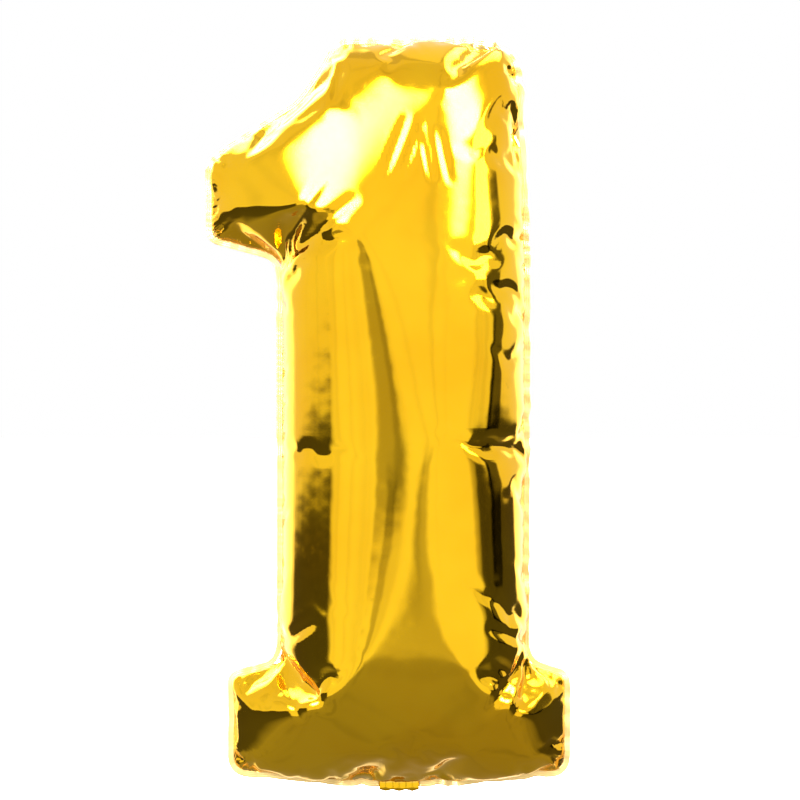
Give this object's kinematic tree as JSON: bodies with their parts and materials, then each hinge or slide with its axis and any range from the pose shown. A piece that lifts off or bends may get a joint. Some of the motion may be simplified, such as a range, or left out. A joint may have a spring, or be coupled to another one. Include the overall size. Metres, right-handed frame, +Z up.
{
  "type": "foil number balloon",
  "caption": "Inflated foil balloon shaped as a fat numeral one, with a welded edge, an inner duck-bill valve, and a folding inflation tail under its foot.",
  "frame": {"origin": "the tie point on the neck, at the middle of the foot's bottom edge", "axes": "+Z up along the stem, +X to the right of someone reading the numeral, -Y towards that reader"},
  "size_m": [0.419, 0.24, 0.8659],
  "materials": {
    "gold_foil": "gold metallised film",
    "valve_film": "clear polyethylene film"
  },
  "bodies": {
    "envelope": {"front_foil_panel": "gold_foil", "back_foil_panel": "gold_foil", "heat_seal_flange": "gold_foil"},
    "tail": {"tail_front_ply": "gold_foil", "tail_back_ply": "gold_foil", "tail_seal_left": "gold_foil", "tail_seal_right": "gold_foil"},
    "valve_front": {"valve_film_front": "valve_film"},
    "valve_back": {"valve_film_back": "valve_film"}
  },
  "joints": [
    {"name": "tail_fold", "type": "hinge", "parent": "envelope", "child": "tail", "pos_m": [0, 0, -0.005], "axis": [-1, 0, 0], "range_deg": [0, 180]},
    {"name": "valve_front_opens", "type": "hinge", "parent": "envelope", "child": "valve_front", "pos_m": [0, -0.00035, 0.009], "axis": [1, 0, 0], "range_deg": [0, 6], "stiffness_Nm_per_rad": 0.002},
    {"name": "valve_back_opens", "type": "hinge", "parent": "envelope", "child": "valve_back", "pos_m": [0, 0.00035, 0.009], "axis": [1, 0, 0], "range_deg": [-6, 0], "stiffness_Nm_per_rad": 0.002}
  ],
  "couplings": [
    {"joint": "valve_back_opens", "follows": "valve_front_opens", "ratio": -1}
  ]
}
